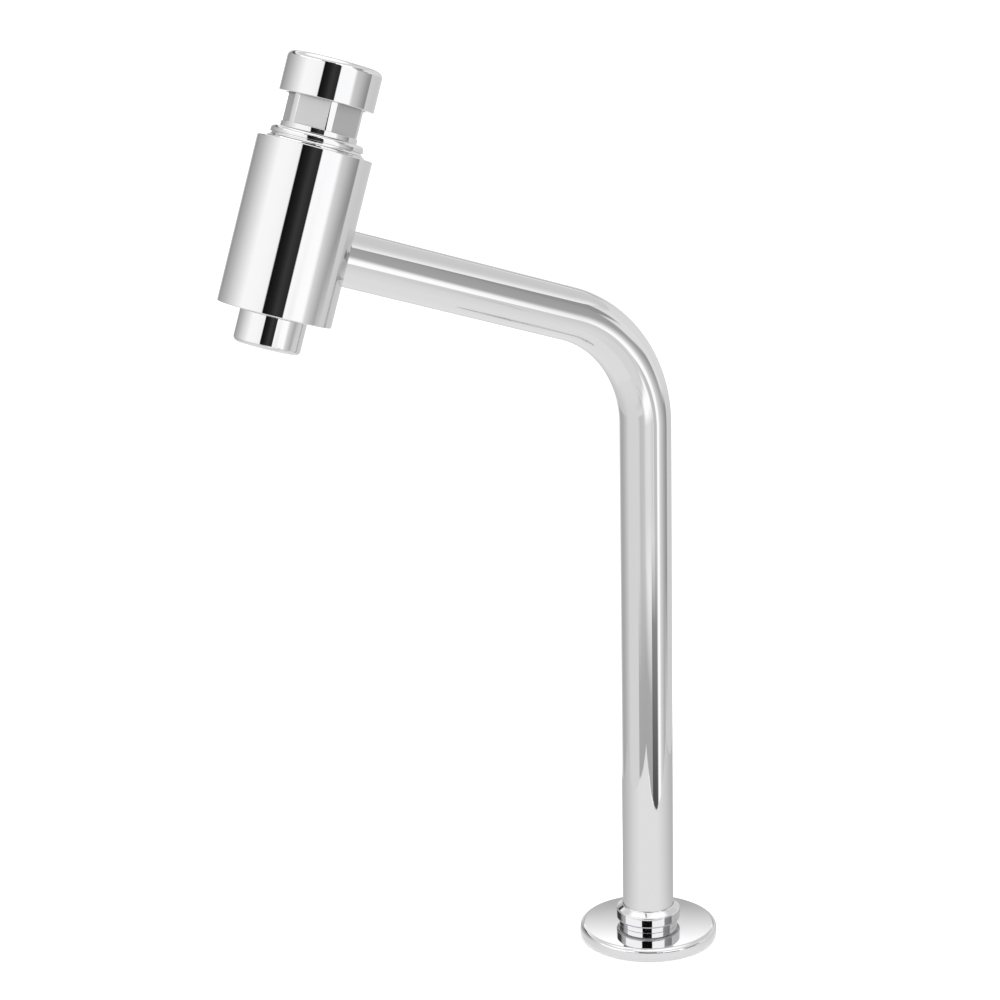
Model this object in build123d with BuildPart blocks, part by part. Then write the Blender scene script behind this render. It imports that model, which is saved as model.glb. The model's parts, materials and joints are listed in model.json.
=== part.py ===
from build123d import *
from math import cos, radians, sin, tan
import os

os.makedirs("parts", exist_ok=True)

# Driving sizes, in millimetres and degrees

# Clearances
fit_gap = 0.05          # between a turned part and the bore it sits or runs in
seal_gap = 0.05         # between a seal ring and the walls of its groove
stop_gap = 0.3          # left between two stops at full press

# Spout tube, one bent length from the flange to the valve body
tube_diameter = 19.05
tube_wall = 1.0
bend_radius = 46.0
arm_rise = 18.0         # slope of the arm above the horizontal
corner_height = 231.8   # where column and arm centre lines meet
arm_length = 143.6      # from that corner to the head's axis
arm_engagement = 4.0    # depth of the arm's end in the wall of the valve body

# Flange on the deck
flange_diameter = 51.5
flange_thickness = 4.9
flange_rim_radius = 1.7
gasket_width = 8.0
gasket_thickness = 1.2
gasket_margin = 2.5     # from the gasket's edge to the flange's rim

# Boss with the inlet thread
inlet_thread_radius = 7.48
inlet_thread_depth = 6.0
inlet_relief_depth = 0.5    # of the groove above the thread, in its wall
inlet_relief_height = 1.1   # from the thread's end up to the washer
inlet_washer_thickness = 0.6
inlet_web_thickness = 0.8
inlet_web_bore_radius = 6.0
boss_radius = 11.0
boss_height = 2.1
shank_radius = 10.1
shank_chamfer = 0.4
spigot_wall = 1.0
spigot_height = 3.6

# Collar round the column's foot
collar_radius = 12.0
collar_foot_round = 0.8
collar_edge_round = 0.4
collar_side_height = 4.2
collar_cone_height = 0.95
collar_lip_wall = 0.2
collar_lip_height = 0.85
collar_hollow = 1.2     # radius between the cone and the lip round the column

# Strainer cup behind the inlet washer
strainer_wall = 0.3
strainer_height = 5.5
strainer_slots = 8
strainer_slot_width = 1.0

# Valve body
body_wall = 5.2         # round the cartridge bore
body_below_arm = 23.3
body_above_arm = 32.3
body_edge_chamfer = 0.4
cartridge_bore_radius = 14.0
seat_depth = 15.0       # from the arm's axis down to the seat's shoulder
guide_depth = 4.8       # from the body's top down to the guide bush's flange
outlet_bore_radius = 9.6

# Trim ring between body and bonnet
trim_width = 2.2
trim_top_width = 1.4
trim_straight_height = 0.6
trim_height = 1.3

# Bonnet with the hexagonal neck
bonnet_flange_width = 1.5   # beyond the thread
bonnet_flange_height = 2.4
bonnet_groove_height = 0.4
bonnet_groove_depth = 0.6
bonnet_shoulder_radius = 1.3
bonnet_step_radius = 12.8
bonnet_step_height = 1.7
hex_across_flats = 23.0
hex_corner_radius = 12.69
hex_turn = 16.0         # from the arm's direction to the first corner
bonnet_thread_length = 10.3

# Button and its travel
button_travel = 8.0
button_diameter = 31.6
button_wall = 2.6
button_top_thickness = 3.0
button_edge_radius = 1.8
button_rim_chamfer = 0.3
neck_cover = 1.6        # how far the neck reaches into the button at rest
neck_left = 1.3         # neck still showing at full press
button_inner_gap = 0.9  # between neck and button top at full press
button_boss_radius = 6.0

# Stem and the seat washer
stem_radius = 3.0
stem_waist_radius = 2.5
seat_washer_radius = 7.4
seat_washer_thickness = 2.2
washer_plate_radius = 6.6
washer_plate_thickness = 1.0
screw_head_radius = 3.4
screw_head_height = 2.0
screw_radius = 1.5
screw_length = 9.0
screw_slot_width = 0.9

# Seat bush
seat_bush_thickness = 3.0
seat_bore_radius = 5.5
seat_lip_width = 1.2
seat_lip_height = 0.8

# Sleeve that the piston runs in
sleeve_bore_radius = 8.0
sleeve_wall = 3.0
window_count = 6
window_radius = 2.5
window_height = 6.0     # of the windows' centres above the seat bush
rib_width = 0.8

# Filter band round the sleeve
filter_wall = 0.4
filter_slot_width = 1.2
filter_slot_height = 3.2
filter_columns = 16
filter_rows = 2

# Piston and its lip seal
piston_rest_height = 18.0   # of its underside above the seat bush
piston_land = 3.0
piston_hub_radius = 5.2
cup_height = 3.0
cup_lip = 1.0
piston_bleed_radius = 0.4

# Guide bush
guide_plug_height = 6.0
guide_flange_height = 2.0
guide_nose_radius = 6.9
guide_nose_height = 12.0
stem_seal_height = 3.0  # of the stem seal above the guide's flange

# Return spring
spring_wire_radius = 0.5
spring_radius = 5.4
spring_turns = 6.0
spring_wire_sides = 8   # the wire's round section, drawn with this many sides

# Outlet nozzle
nozzle_radius = 11.3
nozzle_edge_radius = 1.5
nozzle_relief_height = 0.3  # of the fine groove below the body
nozzle_relief_depth = 0.3
nozzle_bore_radius = 8.4
nozzle_head_gap = 2.0   # between the nozzle's thread and the seat's shoulder
nozzle_room = 0.8       # between the screw at full press and the straightener

# Flow straightener
straightener_radius = 9.15
straightener_thickness = 3.8
straightener_hole_radius = 1.4
straightener_pitch = 3.7
clip_thickness = 0.6
clip_width = 1.25
mouth_recess = 0.3

# Seal rings, as radius of section
small_seal = 0.55
medium_seal = 0.8
large_seal = 0.95
seal_sides = 8          # a ring's round section, drawn with this many sides

# Directions and planes of the head

rise = radians(arm_rise)
arm_direction = Vector(-cos(rise), 0, sin(rise))
head_up = Vector(sin(rise), 0, cos(rise))
corner = Vector(0, 0, corner_height)
head_centre = corner + arm_direction * arm_length
head_axis = Axis(head_centre, head_up)
head_section = Plane(origin=head_centre, x_dir=arm_direction, z_dir=(0, 1, 0))


def head_level(height):
    # a plane across the head's axis, at a height above the arm's axis
    return Plane(
        origin=head_centre + head_up * height, x_dir=arm_direction, z_dir=head_up
    )


# Heights above the deck at the column's foot

tube_radius = tube_diameter / 2
boss_top = flange_thickness + boss_height
washer_bottom = inlet_thread_depth + inlet_relief_height
washer_top = washer_bottom + inlet_washer_thickness
web_bottom = washer_top + strainer_wall
web_top = web_bottom + inlet_web_thickness
spigot_radius = tube_radius + fit_gap + spigot_wall
spigot_top = boss_top + spigot_height
collar_edge = boss_top + collar_side_height
collar_cone_top = collar_edge + collar_cone_height
collar_top = collar_cone_top + collar_lip_height

# Heights along the head's axis, from the arm's axis

seat_floor = -seat_depth
seat_top = seat_floor + seat_bush_thickness
lip_bottom = seat_floor - seat_lip_height
seat_washer_bottom = lip_bottom - seat_washer_thickness
plate_bottom = seat_washer_bottom - washer_plate_thickness
screw_bottom = plate_bottom - screw_head_height
straightener_top = screw_bottom - button_travel - nozzle_room
straightener_bottom = straightener_top - straightener_thickness
clip_bottom = straightener_bottom - clip_thickness
nozzle_bottom = clip_bottom - mouth_recess
nozzle_thread_top = seat_floor - nozzle_head_gap

piston_bottom = seat_top + piston_rest_height
piston_land_top = piston_bottom + piston_land
piston_top = piston_land_top + cup_height
guide_flange_top = body_above_arm - guide_depth
sleeve_top = guide_flange_top - guide_flange_height
guide_bottom = sleeve_top - guide_plug_height
guide_top = guide_flange_top + guide_nose_height
bonnet_bottom = body_above_arm - bonnet_thread_length

trim_top = body_above_arm + trim_height
groove_top = trim_top + bonnet_groove_height
bonnet_flange_top = groove_top + bonnet_flange_height
step_top = bonnet_flange_top + bonnet_step_height
button_bottom = step_top + button_travel + neck_left
neck_top = button_bottom + neck_cover
button_ceiling = neck_top + button_travel + button_inner_gap
button_top = button_ceiling + button_top_thickness
button_boss_bottom = guide_top + stop_gap + button_travel
stem_top = (button_boss_bottom + button_ceiling) / 2

# Radii that follow from the ones they fit

body_radius = cartridge_bore_radius + body_wall
trim_radius = cartridge_bore_radius + trim_width
trim_top_radius = cartridge_bore_radius + trim_top_width
bonnet_flange_radius = cartridge_bore_radius + bonnet_flange_width
sleeve_radius = sleeve_bore_radius + sleeve_wall
sleeve_seat_radius = sleeve_radius + fit_gap
button_radius = button_diameter / 2
button_bore_radius = button_radius - button_wall

# Base flange: a turned plate with a rounded rim and a recess for its gasket

gasket_outer = flange_diameter / 2 - gasket_margin
gasket_inner = gasket_outer - gasket_width

with BuildPart() as base_flange:
    with BuildSketch(Plane.XY):
        Circle(flange_diameter / 2)
        Circle(shank_radius + fit_gap, mode=Mode.SUBTRACT)
    extrude(amount=flange_thickness)
    rim = base_flange.edges().filter_by(GeomType.CIRCLE).group_by(Axis.Z)[-1]
    fillet(rim.sort_by(SortBy.RADIUS)[-1], radius=flange_rim_radius)
    with BuildSketch(Plane.XY):
        Circle(gasket_outer + fit_gap)
        Circle(gasket_inner - fit_gap, mode=Mode.SUBTRACT)
    extrude(amount=gasket_thickness, mode=Mode.SUBTRACT)
base_flange.part.label = "base_flange"
export_step(base_flange.part, "parts/base_flange.step")

# Deck gasket: a flat rubber ring, flush with the flange's underside

with BuildPart() as deck_gasket:
    with BuildSketch(Plane.XY):
        Circle(gasket_outer)
        Circle(gasket_inner, mode=Mode.SUBTRACT)
    extrude(amount=gasket_thickness)
deck_gasket.part.label = "deck_gasket"
export_step(deck_gasket.part, "parts/deck_gasket.step")

# Inlet bush: the shank passes through the flange, the boss rests on it, and the
# spigot above holds the foot of the column

with BuildPart() as inlet_bush:
    with BuildSketch(Plane.XY):
        Circle(shank_radius)
    extrude(amount=flange_thickness)
    with BuildSketch(Plane.XY.offset(flange_thickness)):
        Circle(boss_radius)
    extrude(amount=boss_height)
    with BuildSketch(Plane.XY.offset(boss_top)):
        Circle(spigot_radius)
    extrude(amount=spigot_height)
    with BuildSketch(Plane.XY):
        Circle(inlet_thread_radius)
    extrude(amount=inlet_thread_depth, mode=Mode.SUBTRACT)
    with BuildSketch(Plane.XY.offset(inlet_thread_depth)):
        Circle(inlet_thread_radius + inlet_relief_depth)
    extrude(amount=web_bottom - inlet_thread_depth, mode=Mode.SUBTRACT)
    with BuildSketch(Plane.XY.offset(web_bottom)):
        Circle(inlet_web_bore_radius)
    extrude(amount=inlet_web_thickness, mode=Mode.SUBTRACT)
    with BuildSketch(Plane.XY.offset(web_top)):
        Circle(tube_radius + fit_gap)
    extrude(amount=spigot_top - web_top, mode=Mode.SUBTRACT)
    mouth = inlet_bush.edges().filter_by(GeomType.CIRCLE).group_by(Axis.Z)[0]
    chamfer(mouth.sort_by(SortBy.RADIUS)[-1], length=shank_chamfer)
inlet_bush.part.label = "inlet_bush"
export_step(inlet_bush.part, "parts/inlet_bush.step")

# Inlet strainer: a thin cup with a flange under the web and slots in its wall

strainer_radius = inlet_web_bore_radius - fit_gap
strainer_flange_radius = inlet_thread_radius - fit_gap

with BuildPart() as inlet_strainer:
    with BuildSketch(Plane.XY.offset(washer_top)):
        Circle(strainer_flange_radius)
    extrude(amount=strainer_wall)
    with BuildSketch(Plane.XY.offset(web_bottom)):
        Circle(strainer_radius)
    extrude(amount=strainer_height)
    with BuildSketch(Plane.XY.offset(washer_top)):
        Circle(strainer_radius - strainer_wall)
    extrude(amount=strainer_height, mode=Mode.SUBTRACT)
    with BuildSketch(Plane.XY.offset(web_top)):
        with PolarLocations(strainer_radius, strainer_slots):
            Rectangle(strainer_radius, strainer_slot_width)
    extrude(amount=strainer_height - inlet_web_thickness - 2 * strainer_wall, mode=Mode.SUBTRACT)
inlet_strainer.part.label = "inlet_strainer"
export_step(inlet_strainer.part, "parts/inlet_strainer.step")

# Inlet washer: the flat seal between the supply nipple and the strainer's flange

with BuildPart() as inlet_washer:
    with BuildSketch(Plane.XY.offset(washer_bottom)):
        Circle(strainer_flange_radius)
        Circle(strainer_radius - strainer_wall, mode=Mode.SUBTRACT)
    extrude(amount=inlet_washer_thickness)
inlet_washer.part.label = "inlet_washer"
export_step(inlet_washer.part, "parts/inlet_washer.step")

# Spout tube: column, bend and arm swept as one tube, standing on the web inside
# the inlet bush and ending square in the socket of the valve body

arm_end = body_radius - arm_engagement
bend_setback = bend_radius * tan(radians(90 - arm_rise) / 2)
bend_start = corner_height - bend_setback
bend_end = corner + arm_direction * bend_setback
tube_end = corner + arm_direction * (arm_length - arm_end)

with BuildPart() as spout_tube:
    with BuildLine() as tube_path:
        Line((0, 0, web_top), (0, 0, bend_start))
        TangentArc((0, 0, bend_start), bend_end, tangent=(0, 0, 1))
        Line(bend_end, tube_end)
    with BuildSketch(Plane.XY.offset(web_top)):
        Circle(tube_radius)
        Circle(tube_radius - tube_wall, mode=Mode.SUBTRACT)
    sweep(path=tube_path.wires()[0])
spout_tube.part.label = "spout_tube"
export_step(spout_tube.part, "parts/spout_tube.step")

# Collar: a straight side rounded at its foot, a low cone that sweeps up into a thin
# lip round the column, and a bore that fits over the spigot

collar_neck_radius = tube_radius + fit_gap
collar_lip_radius = collar_neck_radius + collar_lip_wall

with BuildPart() as collar:
    with BuildSketch(Plane.XZ) as collar_section:
        with BuildLine():
            Polyline(
                (spigot_radius + fit_gap, boss_top),
                (collar_radius, boss_top),
                (collar_radius, collar_edge),
                (collar_lip_radius, collar_cone_top),
                (collar_lip_radius, collar_top),
                (collar_neck_radius, collar_top),
                (collar_neck_radius, spigot_top),
                (spigot_radius + fit_gap, spigot_top),
                close=True,
            )
        make_face()
        outer_corners = collar_section.vertices().group_by(Axis.X)[-1]
        fillet(outer_corners.sort_by(Axis.Y)[0], radius=collar_foot_round)
        outer_corners = collar_section.vertices().group_by(Axis.X)[-1]
        fillet(outer_corners.sort_by(Axis.Y)[-1], radius=collar_edge_round)
        lip_corners = collar_section.vertices().group_by(Axis.X)[1]
        fillet(lip_corners.sort_by(Axis.Y)[0], radius=collar_hollow)
    revolve(axis=Axis.Z)
collar.part.label = "collar"
export_step(collar.part, "parts/collar.step")

# Valve body: a turned cylinder with the cartridge bore from above, the outlet bore
# from below, and the arm's socket in its side

with BuildPart() as valve_body:
    with BuildSketch(head_level(-body_below_arm)):
        Circle(body_radius)
    extrude(amount=body_below_arm + body_above_arm)
    chamfer(valve_body.edges().filter_by(GeomType.CIRCLE), length=body_edge_chamfer)
    with BuildSketch(head_level(seat_floor)):
        Circle(cartridge_bore_radius)
    extrude(amount=seat_depth + body_above_arm, mode=Mode.SUBTRACT)
    with BuildSketch(head_level(-body_below_arm)):
        Circle(outlet_bore_radius)
    extrude(amount=body_below_arm - seat_depth, mode=Mode.SUBTRACT)
    with BuildSketch(head_level(-body_below_arm)):
        Circle(outlet_bore_radius + 2 * small_seal + seal_gap)
    extrude(amount=2 * small_seal + seal_gap, mode=Mode.SUBTRACT)
    with BuildSketch(Plane(origin=tube_end, z_dir=-arm_direction)):
        Circle(tube_radius + fit_gap)
    extrude(amount=arm_engagement, mode=Mode.SUBTRACT)
    with BuildSketch(Plane(origin=head_centre, z_dir=-arm_direction)):
        Circle(tube_radius - tube_wall)
    extrude(amount=body_radius, mode=Mode.SUBTRACT)
valve_body.part.label = "valve_body"
export_step(valve_body.part, "parts/valve_body.step")

# Trim ring: a straight foot and a hollow-curved side, clamped under the bonnet

with BuildPart() as bonnet_ring:
    with BuildSketch(head_section):
        with BuildLine():
            Line(
                (cartridge_bore_radius, body_above_arm),
                (trim_radius, body_above_arm),
            )
            Line(
                (trim_radius, body_above_arm),
                (trim_radius, body_above_arm + trim_straight_height),
            )
            TangentArc(
                (trim_radius, body_above_arm + trim_straight_height),
                (trim_top_radius, trim_top),
                tangent=(-1, 0),
            )
            Line((trim_top_radius, trim_top), (cartridge_bore_radius, trim_top))
            Line(
                (cartridge_bore_radius, trim_top),
                (cartridge_bore_radius, body_above_arm),
            )
        make_face()
    revolve(axis=head_axis)
bonnet_ring.part.label = "bonnet_ring"
export_step(bonnet_ring.part, "parts/bonnet_ring.step")

# Bonnet: threaded shank, groove, flange with a rounded shoulder, step and hexagonal
# neck with turned corners, bored for the sleeve, the guide bush and the button's boss

shank_outer = cartridge_bore_radius - fit_gap
bonnet_seal_radius = shank_outer - large_seal
bonnet_seal_height = bonnet_bottom + 2 * large_seal

with BuildPart() as bonnet:
    with BuildSketch(head_level(bonnet_bottom)):
        Circle(shank_outer)
    extrude(amount=trim_top - bonnet_bottom)
    with BuildSketch(head_level(trim_top)):
        Circle(bonnet_flange_radius - bonnet_groove_depth)
    extrude(amount=bonnet_groove_height)
    with BuildSketch(head_level(groove_top)):
        Circle(bonnet_flange_radius)
    extrude(amount=bonnet_flange_height)
    shoulder = bonnet.edges().filter_by(GeomType.CIRCLE).sort_by(head_axis)[-1]
    fillet(shoulder, radius=bonnet_shoulder_radius)
    with BuildSketch(head_level(bonnet_flange_top)):
        Circle(bonnet_step_radius)
    extrude(amount=bonnet_step_height)
    with BuildSketch(head_level(step_top)):
        Circle(hex_corner_radius)
        RegularPolygon(
            hex_across_flats / 2,
            6,
            major_radius=False,
            rotation=hex_turn,
            mode=Mode.INTERSECT,
        )
    extrude(amount=neck_top - step_top)
    with BuildSketch(head_level(bonnet_bottom)):
        Circle(sleeve_seat_radius)
    extrude(amount=guide_flange_top - bonnet_bottom, mode=Mode.SUBTRACT)
    with BuildSketch(head_level(guide_flange_top)):
        Circle(guide_nose_radius + fit_gap)
    extrude(amount=neck_top - guide_flange_top, mode=Mode.SUBTRACT)
    with BuildSketch(head_level(bonnet_seal_height - large_seal - seal_gap)):
        Circle(shank_outer)
        Circle(bonnet_seal_radius - large_seal - seal_gap, mode=Mode.SUBTRACT)
    extrude(amount=2 * (large_seal + seal_gap), mode=Mode.SUBTRACT)
bonnet.part.label = "bonnet"
export_step(bonnet.part, "parts/bonnet.step")

# Outlet nozzle: a spigot screwed up into the body, with a fine groove below the
# body's edge and a rounded mouth

with BuildPart() as outlet_nozzle:
    with BuildSketch(head_level(nozzle_bottom)):
        Circle(nozzle_radius)
    extrude(amount=-body_below_arm - nozzle_relief_height - nozzle_bottom)
    rim = outlet_nozzle.edges().filter_by(GeomType.CIRCLE).sort_by(head_axis)[0]
    fillet(rim, radius=nozzle_edge_radius)
    with BuildSketch(head_level(-body_below_arm - nozzle_relief_height)):
        Circle(nozzle_radius - nozzle_relief_depth)
    extrude(amount=nozzle_relief_height)
    with BuildSketch(head_level(-body_below_arm)):
        Circle(outlet_bore_radius - fit_gap)
    extrude(amount=nozzle_thread_top + body_below_arm)
    with BuildSketch(head_level(nozzle_bottom)):
        Circle(nozzle_bore_radius)
    extrude(amount=nozzle_thread_top - nozzle_bottom, mode=Mode.SUBTRACT)
    with BuildSketch(head_level(nozzle_bottom)):
        Circle(straightener_radius + fit_gap)
    extrude(amount=straightener_top - nozzle_bottom, mode=Mode.SUBTRACT)
outlet_nozzle.part.label = "outlet_nozzle"
export_step(outlet_nozzle.part, "parts/outlet_nozzle.step")

# Flow straightener: a plastic honeycomb of round channels

with BuildPart() as flow_straightener:
    with BuildSketch(head_level(straightener_bottom)):
        Circle(straightener_radius)
        with Locations((0, 0)):
            Circle(straightener_hole_radius, mode=Mode.SUBTRACT)
        with PolarLocations(straightener_pitch, 6):
            Circle(straightener_hole_radius, mode=Mode.SUBTRACT)
        with PolarLocations(2 * straightener_pitch * cos(radians(15)), 12, start_angle=15):
            Circle(straightener_hole_radius, mode=Mode.SUBTRACT)
    extrude(amount=straightener_thickness)
flow_straightener.part.label = "flow_straightener"
export_step(flow_straightener.part, "parts/flow_straightener.step")

# Straightener clip: the ring below it, just inside the mouth

with BuildPart() as straightener_clip:
    with BuildSketch(head_level(clip_bottom)):
        Circle(straightener_radius)
        Circle(straightener_radius - clip_width, mode=Mode.SUBTRACT)
    extrude(amount=clip_thickness)
straightener_clip.part.label = "straightener_clip"
export_step(straightener_clip.part, "parts/straightener_clip.step")

# Seat bush: a flange on the body's shoulder with a raised lip below it, and a
# groove for its seal

seat_seal_radius = (outlet_bore_radius + cartridge_bore_radius) / 2
lip_outer = seat_bore_radius + seat_lip_width

with BuildPart() as seat_bush:
    with BuildSketch(head_level(seat_floor)):
        Circle(cartridge_bore_radius - fit_gap)
    extrude(amount=seat_bush_thickness)
    with BuildSketch(head_level(lip_bottom)):
        Circle(lip_outer)
    extrude(amount=seat_lip_height)
    with BuildSketch(head_level(lip_bottom)):
        Circle(seat_bore_radius)
    extrude(amount=seat_lip_height + seat_bush_thickness, mode=Mode.SUBTRACT)
    with BuildSketch(head_level(seat_floor)):
        Circle(seat_seal_radius + medium_seal + seal_gap)
        Circle(seat_seal_radius - medium_seal - seal_gap, mode=Mode.SUBTRACT)
    extrude(amount=2 * medium_seal + seal_gap, mode=Mode.SUBTRACT)
seat_bush.part.label = "seat_bush"
export_step(seat_bush.part, "parts/seat_bush.step")

# Cartridge sleeve: a cylinder with a ring of water windows and a rib above them

window_centre = seat_top + window_height
rib_bottom = window_centre + window_radius + rib_width
filter_radius = sleeve_radius + fit_gap

with BuildPart() as cartridge_sleeve:
    with BuildSketch(head_level(seat_top)):
        Circle(sleeve_radius)
    extrude(amount=sleeve_top - seat_top)
    with BuildSketch(head_level(rib_bottom)):
        Circle(filter_radius + filter_wall)
    extrude(amount=rib_width)
    with BuildSketch(head_level(seat_top)):
        Circle(sleeve_bore_radius)
    extrude(amount=sleeve_top - seat_top, mode=Mode.SUBTRACT)
    with Locations(head_level(window_centre)):
        with PolarLocations(0, window_count):
            Cylinder(
                window_radius,
                filter_radius + filter_wall,
                rotation=(0, 90, 0),
                align=(Align.CENTER, Align.CENTER, Align.MIN),
                mode=Mode.SUBTRACT,
            )
cartridge_sleeve.part.label = "cartridge_sleeve"
export_step(cartridge_sleeve.part, "parts/cartridge_sleeve.step")

# Cartridge filter: a thin perforated band from the seat bush up to the rib

filter_height = rib_bottom - seat_top
filter_row_pitch = filter_height / filter_rows

with BuildPart() as cartridge_filter:
    with BuildSketch(head_level(seat_top)):
        Circle(filter_radius + filter_wall)
        Circle(filter_radius, mode=Mode.SUBTRACT)
    extrude(amount=filter_height)
    for row in range(filter_rows):
        slot_middle = seat_top + (row + 0.5) * filter_row_pitch
        with BuildSketch(head_level(slot_middle - filter_slot_height / 2)):
            with PolarLocations(filter_radius, filter_columns):
                Rectangle(filter_radius, filter_slot_width)
        extrude(amount=filter_slot_height, mode=Mode.SUBTRACT)
cartridge_filter.part.label = "cartridge_filter"
export_step(cartridge_filter.part, "parts/cartridge_filter.step")

# Guide bush: a plug in the sleeve, a flange between sleeve and bonnet, and a nose
# round the stem, with one groove outside and one inside

guide_seal_radius = sleeve_bore_radius - medium_seal - fit_gap
guide_seal_height = guide_bottom + guide_plug_height / 2
stem_seal_radius = stem_radius + fit_gap + medium_seal
stem_seal_level = guide_flange_top + stem_seal_height

with BuildPart() as guide_bush:
    with BuildSketch(head_level(guide_bottom)):
        Circle(sleeve_bore_radius - fit_gap)
    extrude(amount=guide_plug_height)
    with BuildSketch(head_level(sleeve_top)):
        Circle(sleeve_radius)
    extrude(amount=guide_flange_height)
    with BuildSketch(head_level(guide_flange_top)):
        Circle(guide_nose_radius)
    extrude(amount=guide_nose_height)
    with BuildSketch(head_level(guide_bottom)):
        Circle(stem_radius + fit_gap)
    extrude(amount=guide_top - guide_bottom, mode=Mode.SUBTRACT)
    with BuildSketch(head_level(guide_seal_height - medium_seal - seal_gap)):
        Circle(sleeve_bore_radius)
        Circle(guide_seal_radius - medium_seal - seal_gap, mode=Mode.SUBTRACT)
    extrude(amount=2 * (medium_seal + seal_gap), mode=Mode.SUBTRACT)
    with BuildSketch(head_level(stem_seal_level - medium_seal - seal_gap)):
        Circle(stem_seal_radius + medium_seal + seal_gap)
    extrude(amount=2 * (medium_seal + seal_gap), mode=Mode.SUBTRACT)
guide_bush.part.label = "guide_bush"
export_step(guide_bush.part, "parts/guide_bush.step")


# Seal rings, each round in section and round the head's axis


def seal_ring(name, height, centre_radius, section_radius):
    with BuildPart() as ring:
        with BuildSketch(head_section):
            with Locations((centre_radius, height)):
                RegularPolygon(section_radius, seal_sides)
        revolve(axis=head_axis)
    ring.part.label = name
    export_step(ring.part, f"parts/{name}.step")


seal_ring("seat_seal", seat_floor + medium_seal, seat_seal_radius, medium_seal)
seal_ring("guide_seal", guide_seal_height, guide_seal_radius, medium_seal)
seal_ring("stem_seal", stem_seal_level, stem_seal_radius, medium_seal)
seal_ring("bonnet_seal", bonnet_seal_height, bonnet_seal_radius, large_seal)
seal_ring("nozzle_seal", small_seal - body_below_arm, outlet_bore_radius + small_seal, small_seal)

# Button cap: a cup over the neck, rounded at the top, with a boss for the stem

with BuildPart() as button_cap:
    with BuildSketch(head_level(button_bottom)):
        Circle(button_radius)
    extrude(amount=button_top - button_bottom)
    rims = button_cap.edges().filter_by(GeomType.CIRCLE).sort_by(head_axis)
    fillet(rims[-1], radius=button_edge_radius)
    chamfer(rims[0], length=button_rim_chamfer)
    with BuildSketch(head_level(button_bottom)):
        Circle(button_bore_radius)
    extrude(amount=button_ceiling - button_bottom, mode=Mode.SUBTRACT)
    with BuildSketch(head_level(button_boss_bottom)):
        Circle(button_boss_radius)
    extrude(amount=button_ceiling - button_boss_bottom)
    with BuildSketch(head_level(button_boss_bottom)):
        Circle(stem_radius + fit_gap)
    extrude(amount=stem_top - button_boss_bottom, mode=Mode.SUBTRACT)
button_cap.part.label = "button_cap"
export_step(button_cap.part, "parts/button_cap.step")

# Stem: the waist through the seat and piston, the thicker rod above, and the tapped
# hole for the washer screw

with BuildPart() as stem:
    with BuildSketch(head_level(lip_bottom)):
        Circle(stem_waist_radius)
    extrude(amount=piston_top - lip_bottom)
    with BuildSketch(head_level(piston_top)):
        Circle(stem_radius)
    extrude(amount=stem_top - piston_top)
    with BuildSketch(head_level(lip_bottom)):
        Circle(screw_radius + fit_gap)
    extrude(amount=screw_length, mode=Mode.SUBTRACT)
stem.part.label = "stem"
export_step(stem.part, "parts/stem.step")

# Piston: a land that runs in the sleeve, a hub for the cup seal and a bleed hole

bleed_place = (stem_waist_radius + piston_hub_radius) / 2

with BuildPart() as piston:
    with BuildSketch(head_level(piston_bottom)):
        Circle(sleeve_bore_radius - fit_gap)
    extrude(amount=piston_land)
    with BuildSketch(head_level(piston_land_top)):
        Circle(piston_hub_radius)
    extrude(amount=cup_height)
    with BuildSketch(head_level(piston_bottom)):
        Circle(stem_waist_radius + fit_gap)
        with Locations((bleed_place, 0)):
            Circle(piston_bleed_radius)
    extrude(amount=piston_top - piston_bottom, mode=Mode.SUBTRACT)
piston.part.label = "piston"
export_step(piston.part, "parts/piston.step")

# Cup seal: a ring of rubber with an outer lip and an inner lip

cup_outer = sleeve_bore_radius - fit_gap
cup_inner = piston_hub_radius + fit_gap

with BuildPart() as cup_seal:
    with BuildSketch(head_level(piston_land_top)):
        Circle(cup_outer)
        Circle(cup_inner, mode=Mode.SUBTRACT)
    extrude(amount=cup_height)
    with BuildSketch(head_level(piston_land_top + cup_lip)):
        Circle(cup_outer - cup_lip)
        Circle(cup_inner + cup_lip, mode=Mode.SUBTRACT)
    extrude(amount=cup_height, mode=Mode.SUBTRACT)
cup_seal.part.label = "cup_seal"
export_step(cup_seal.part, "parts/cup_seal.step")

# Seat washer and the plate that backs it

with BuildPart() as seat_washer:
    with BuildSketch(head_level(seat_washer_bottom)):
        Circle(seat_washer_radius)
        Circle(screw_radius + fit_gap, mode=Mode.SUBTRACT)
    extrude(amount=seat_washer_thickness)
seat_washer.part.label = "seat_washer"
export_step(seat_washer.part, "parts/seat_washer.step")

with BuildPart() as washer_plate:
    with BuildSketch(head_level(plate_bottom)):
        Circle(washer_plate_radius)
        Circle(screw_radius + fit_gap, mode=Mode.SUBTRACT)
    extrude(amount=washer_plate_thickness)
washer_plate.part.label = "washer_plate"
export_step(washer_plate.part, "parts/washer_plate.step")

# Washer screw: slotted cheese head, up into the stem

with BuildPart() as washer_screw:
    with BuildSketch(head_level(screw_bottom)):
        Circle(screw_head_radius)
    extrude(amount=screw_head_height)
    with BuildSketch(head_level(plate_bottom)):
        Circle(screw_radius)
    extrude(amount=lip_bottom - plate_bottom + screw_length - stop_gap)
    with BuildSketch(head_level(screw_bottom)):
        Rectangle(2 * screw_head_radius, screw_slot_width)
    extrude(amount=screw_head_height / 2, mode=Mode.SUBTRACT)
washer_screw.part.label = "washer_screw"
export_step(washer_screw.part, "parts/washer_screw.step")

# Return spring: round wire wound between the seat bush and the piston

spring_bottom = seat_top + spring_wire_radius + fit_gap
spring_length = piston_bottom - seat_top - 2 * (spring_wire_radius + fit_gap)

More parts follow.
